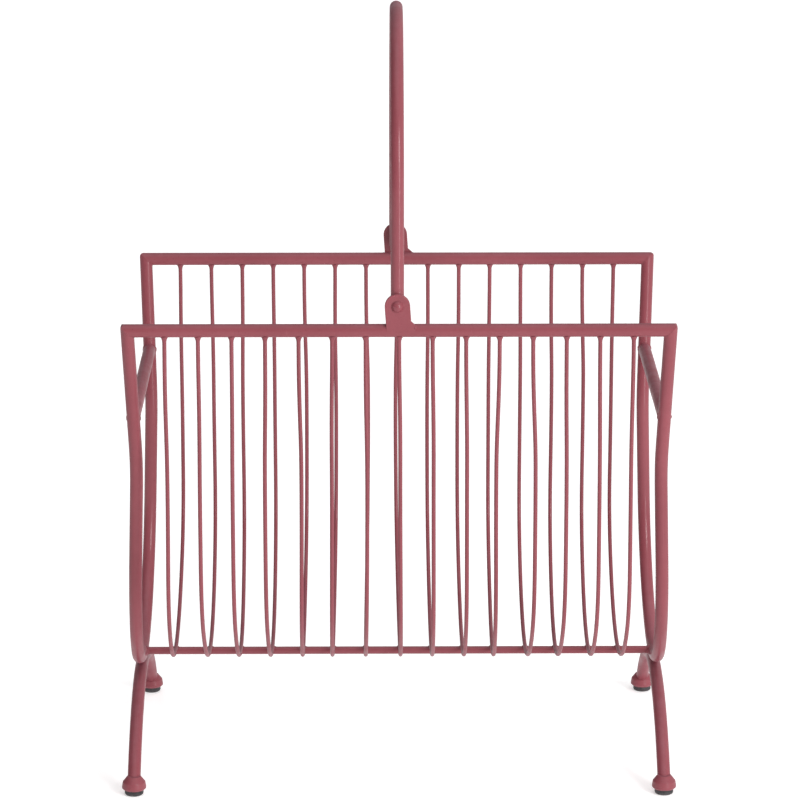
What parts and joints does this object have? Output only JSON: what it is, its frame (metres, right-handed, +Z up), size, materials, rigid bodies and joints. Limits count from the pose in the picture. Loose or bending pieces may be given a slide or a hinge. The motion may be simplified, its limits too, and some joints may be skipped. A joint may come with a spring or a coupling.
{
  "type": "magazine rack",
  "caption": "Free-standing steel magazine rack: a round-bottomed wire basket between two tube hoops on arched legs, with a tall swinging carry handle.",
  "frame": {"origin": "on the floor, under the middle of the rack", "axes": "+X along the rails to the right, +Y to the back, +Z up"},
  "size_m": [0.425, 0.2792, 0.592],
  "materials": {
    "frame_paint": "satin powder coat, dusty rose",
    "wire_paint": "satin powder coat, dusty rose",
    "handle_paint": "satin powder coat, dusty rose",
    "rivet_paint": "satin powder coat, dusty rose",
    "pad_rubber": "matt black moulded rubber"
  },
  "bodies": {
    "frame": {"front_rail": "frame_paint", "back_rail": "frame_paint", "left_hoop": "frame_paint", "right_hoop": "frame_paint", "left_stretcher": "frame_paint", "right_stretcher": "frame_paint", "left_leg_arch": "frame_paint", "right_leg_arch": "frame_paint", "bottom_bar": "frame_paint", "basket_wire_01": "wire_paint", "basket_wire_02": "wire_paint", "basket_wire_03": "wire_paint", "basket_wire_04": "wire_paint", "basket_wire_05": "wire_paint", "basket_wire_06": "wire_paint", "basket_wire_07": "wire_paint", "basket_wire_08": "wire_paint", "basket_wire_09": "wire_paint", "basket_wire_10": "wire_paint", "basket_wire_11": "wire_paint", "basket_wire_12": "wire_paint", "basket_wire_13": "wire_paint", "basket_wire_14": "wire_paint", "basket_wire_15": "wire_paint", "front_handle_bracket": "frame_paint", "back_handle_bracket": "frame_paint", "front_rivet": "rivet_paint", "back_rivet": "rivet_paint", "front_left_foot_cap": "frame_paint", "back_left_foot_cap": "frame_paint", "front_right_foot_cap": "frame_paint", "back_right_foot_cap": "frame_paint", "front_left_foot_pad": "pad_rubber", "back_left_foot_pad": "pad_rubber", "front_right_foot_pad": "pad_rubber", "back_right_foot_pad": "pad_rubber"},
    "handle": {"handle": "handle_paint"}
  },
  "joints": [
    {"name": "handle_swing", "type": "hinge", "parent": "frame", "child": "handle", "pos_m": [-0.0013, 0, 0.384], "axis": [0, 1, 0], "range_deg": [-95.5, 95.5]}
  ]
}
